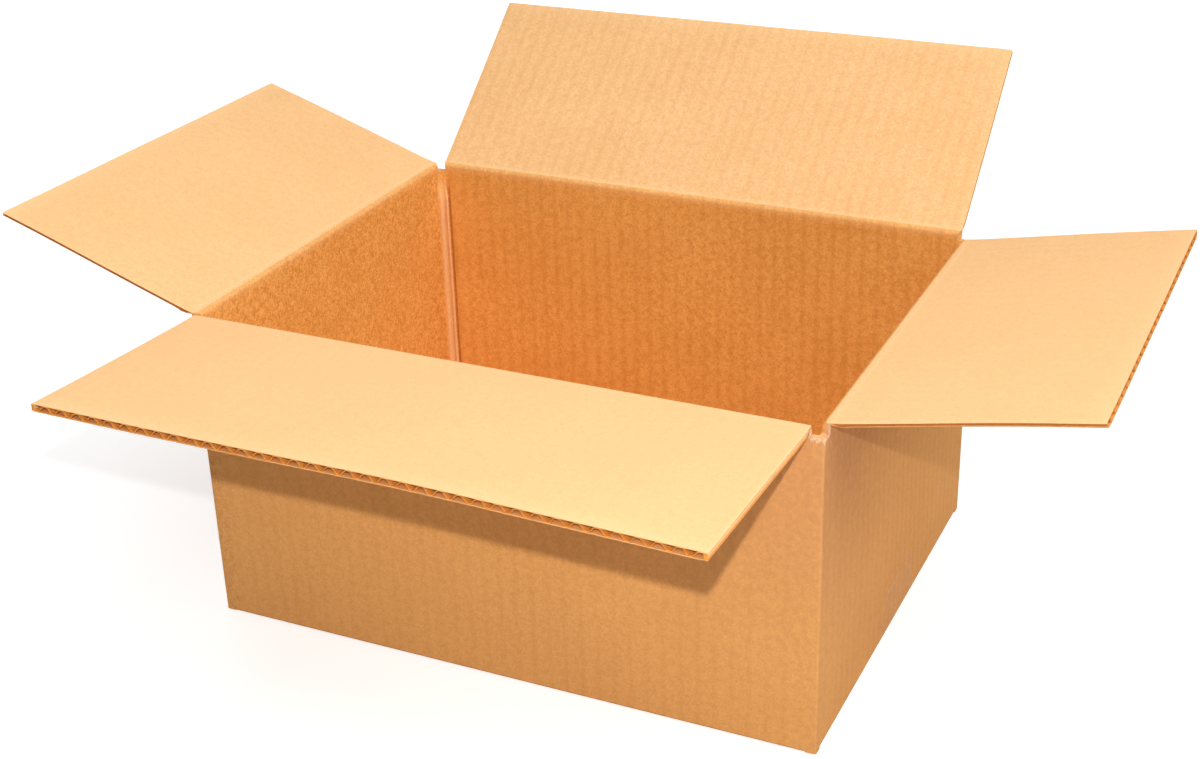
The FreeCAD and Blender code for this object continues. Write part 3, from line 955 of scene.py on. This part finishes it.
for side_name in SIDES:
    crease(side_name)

# Tape: clear polypropylene packing tape along the bottom seam, turned up on both end walls.
# Smooth and glossy, so the board shows through it a little darker.
# Its edges catch the light, and flat bubbles under it cloud it here and there.
TAPE_SHIFT = 4 * MM
TAPE_SIDE = 23.3 * MM
TAPE_END = 22.8 * MM
TAPE_EDGE = 0.08
TAPE_CLEAREST = 0.02
TAPE_CLOUDIEST = 0.09
TAPE_ROUGHNESS = 0.12
TAPE_IOR = 1.5
BUBBLE = 6 * MM
BUBBLE_HEIGHT = 0.2 * MM
BUBBLE_STRENGTH = 0.2


def clear_tape():
    material = bpy.data.materials.new("clear_polypropylene_tape")
    material.use_nodes = True
    tree = material.node_tree
    shader = tree.nodes["Principled BSDF"]
    place = add_node(tree, "ShaderNodeTexCoord").outputs["Object"]
    parts = add_node(tree, "ShaderNodeSeparateXYZ", {0: place}).outputs
    bubbles = add_node(tree, "ShaderNodeTexNoise", {"Vector": place, "Scale": 1 / BUBBLE, "Detail": 3.0})
    across = add_node(tree, "ShaderNodeMath", {0: parts["Y"], 1: TAPE_SHIFT}, operation="SUBTRACT")
    off_middle = add_node(tree, "ShaderNodeMath", {0: across}, operation="ABSOLUTE")
    side_edge = add_node(tree, "ShaderNodeMath", {0: off_middle, 1: TAPE_SIDE}, operation="GREATER_THAN")
    cut_end = add_node(tree, "ShaderNodeMath", {0: parts["Z"], 1: TAPE_END}, operation="GREATER_THAN")
    edge = add_node(tree, "ShaderNodeMath", {0: side_edge, 1: cut_end}, operation="MAXIMUM")
    film = add_node(tree, "ShaderNodeMapRange",
                    {"Value": bubbles, "From Min": 0.5, "From Max": 0.75,
                     "To Min": TAPE_CLEAREST, "To Max": TAPE_CLOUDIEST})
    clear = add_node(tree, "ShaderNodeMath", {0: edge, 1: TAPE_EDGE, 2: film}, operation="MULTIPLY_ADD")
    tone = add_node(tree, "ShaderNodeMix", {0: edge, 6: linear("#E8C9A4"), 7: linear("#F4E6D4")},
                    data_type="RGBA")
    bump = add_node(tree, "ShaderNodeBump",
                    {"Height": bubbles, "Strength": BUBBLE_STRENGTH, "Distance": BUBBLE_HEIGHT})
    tree.links.new(tone.outputs[2], shader.inputs["Base Color"])
    tree.links.new(clear.outputs[0], shader.inputs["Alpha"])
    tree.links.new(bump.outputs[0], shader.inputs["Normal"])
    shader.inputs["Roughness"].default_value = TAPE_ROUGHNESS
    shader.inputs["IOR"].default_value = TAPE_IOR
    return material


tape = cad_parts["bottom_tape"]
tape.data.materials.clear()
tape.data.materials.append(clear_tape())

# Floor, light and camera: a plain pale floor, a wide lamp overhead, a soft one on the right, a
# weaker soft one behind on the left, and a small lamp just above the camera, whose light falls
# off towards the far left and which draws the shadow under the front flap.
FLOOR_HALF = 6
FLOOR_DROP = 0.0003
# Near the box the floor glows less, so that it keeps the shadow. Far off it is as white as the sky.
FLOOR_GLOW = 0.62
GLOW_NEAR = 0.7
GLOW_FAR = 2.2
SKY_LIGHT = 0.165
FRONT_LAMP = (0.359, -0.751, 0.585)
FRONT_LAMP_POWER = 18.5
FRONT_LAMP_RADIUS = 0.009
TOP_LAMP = (0.3, 0.0, 2.2)
TOP_LAMP_POWER = 30.5
TOP_LAMP_WIDTH = 2.4
SIDE_LAMP = (2.0, -0.2, 1.5)
SIDE_LAMP_POWER = 17.5
BACK_LAMP = (-1.7, 1.5, 0.8)
BACK_LAMP_POWER = 11.0
SOFT_WIDTH = 1.6
SOFT_HEIGHT = 1.0
LAMP_TARGET = Vector((0.0, 0.0, 0.1))
# The camera's place, turn and lens are those from which the photograph was taken.
CAMERA_PLACE = (0.36145, -0.75332, 0.50661)
CAMERA_TURN = (64.401, 1.211, 24.197)
CAMERA_LENS = 55.62
CAMERA_SENSOR = 36.0
CAMERA_SHIFT = (-0.0216, -0.0053)
CAMERA_FAR = 50


def backdrop_rays(tree):
    """1 for rays that see the backdrop straight, in gloss or through film, else 0."""
    rays = add_node(tree, "ShaderNodeLightPath").outputs
    gloss = add_node(tree, "ShaderNodeMath", {0: rays["Is Glossy Ray"], 1: rays["Is Transmission Ray"]},
                     operation="MAXIMUM")
    return add_node(tree, "ShaderNodeMath", {0: rays["Is Camera Ray"], 1: gloss}, operation="MAXIMUM")


def aimed(light, place):
    lamp = bpy.data.objects.new(light.name, light)
    lamp.location = place
    lamp.rotation_euler = (Vector(place) - LAMP_TARGET).to_track_quat("Z", "Y").to_euler()
    bpy.context.scene.collection.objects.link(lamp)


floor_mesh = bpy.data.meshes.new("floor")
floor_corners = [(x * FLOOR_HALF, y * FLOOR_HALF, -FLOOR_DROP)
                 for x, y in ((-1, -1), (1, -1), (1, 1), (-1, 1))]
floor_mesh.from_pydata(floor_corners, [], [(0, 1, 2, 3)])
floor = bpy.data.objects.new("floor", floor_mesh)
bpy.context.scene.collection.objects.link(floor)
floor_material = bpy.data.materials.new("pale_floor")
floor_material.use_nodes = True
floor_tree = floor_material.node_tree
floor_shader = floor_tree.nodes["Principled BSDF"]
floor_shader.inputs["Base Color"].default_value = linear("#C8C8C8")
floor_shader.inputs["Roughness"].default_value = 0.9
floor_shader.inputs["Emission Color"].default_value = (1, 1, 1, 1)
floor_place = add_node(floor_tree, "ShaderNodeTexCoord").outputs["Object"]
from_box = add_node(floor_tree, "ShaderNodeVectorMath", {0: floor_place}, operation="LENGTH").outputs["Value"]
brightness = add_node(floor_tree, "ShaderNodeMapRange",
                      {"Value": from_box, "From Min": GLOW_NEAR, "From Max": GLOW_FAR,
                       "To Min": FLOOR_GLOW, "To Max": 1.0})
glow = add_node(floor_tree, "ShaderNodeMath", {0: backdrop_rays(floor_tree), 1: brightness},
                operation="MULTIPLY")
floor_tree.links.new(glow.outputs[0], floor_shader.inputs["Emission Strength"])
floor_mesh.materials.append(floor_material)

world = bpy.data.worlds.new("studio")
bpy.context.scene.world = world
world.use_nodes = True
sky = world.node_tree
background = sky.nodes["Background"]
background.inputs["Color"].default_value = (1, 1, 1, 1)
strength = add_node(sky, "ShaderNodeMix", {0: backdrop_rays(sky), 2: SKY_LIGHT, 3: 1.0}, data_type="FLOAT")
sky.links.new(strength.outputs[0], background.inputs["Strength"])

front_lamp = bpy.data.lights.new("front_lamp", "POINT")
front_lamp.energy = FRONT_LAMP_POWER
front_lamp.shadow_soft_size = FRONT_LAMP_RADIUS
aimed(front_lamp, FRONT_LAMP)
top_lamp = bpy.data.lights.new("top_lamp", "AREA")
top_lamp.energy = TOP_LAMP_POWER
top_lamp.size = TOP_LAMP_WIDTH
aimed(top_lamp, TOP_LAMP)
for lamp_name, lamp_place, power in (("side_lamp", SIDE_LAMP, SIDE_LAMP_POWER),
                                     ("back_lamp", BACK_LAMP, BACK_LAMP_POWER)):
    soft_lamp = bpy.data.lights.new(lamp_name, "AREA")
    soft_lamp.energy = power
    soft_lamp.shape = "RECTANGLE"
    soft_lamp.size = SOFT_WIDTH
    soft_lamp.size_y = SOFT_HEIGHT
    aimed(soft_lamp, lamp_place)

camera_data = bpy.data.cameras.new("camera")
camera_data.sensor_width = CAMERA_SENSOR
camera_data.lens = CAMERA_LENS
camera_data.shift_x, camera_data.shift_y = CAMERA_SHIFT
camera_data.clip_end = CAMERA_FAR
camera = bpy.data.objects.new("camera", camera_data)
camera.location = CAMERA_PLACE
camera.rotation_euler = [math.radians(a) for a in CAMERA_TURN]
bpy.context.scene.collection.objects.link(camera)
bpy.context.scene.camera = camera
bpy.context.scene.view_settings.view_transform = "Standard"
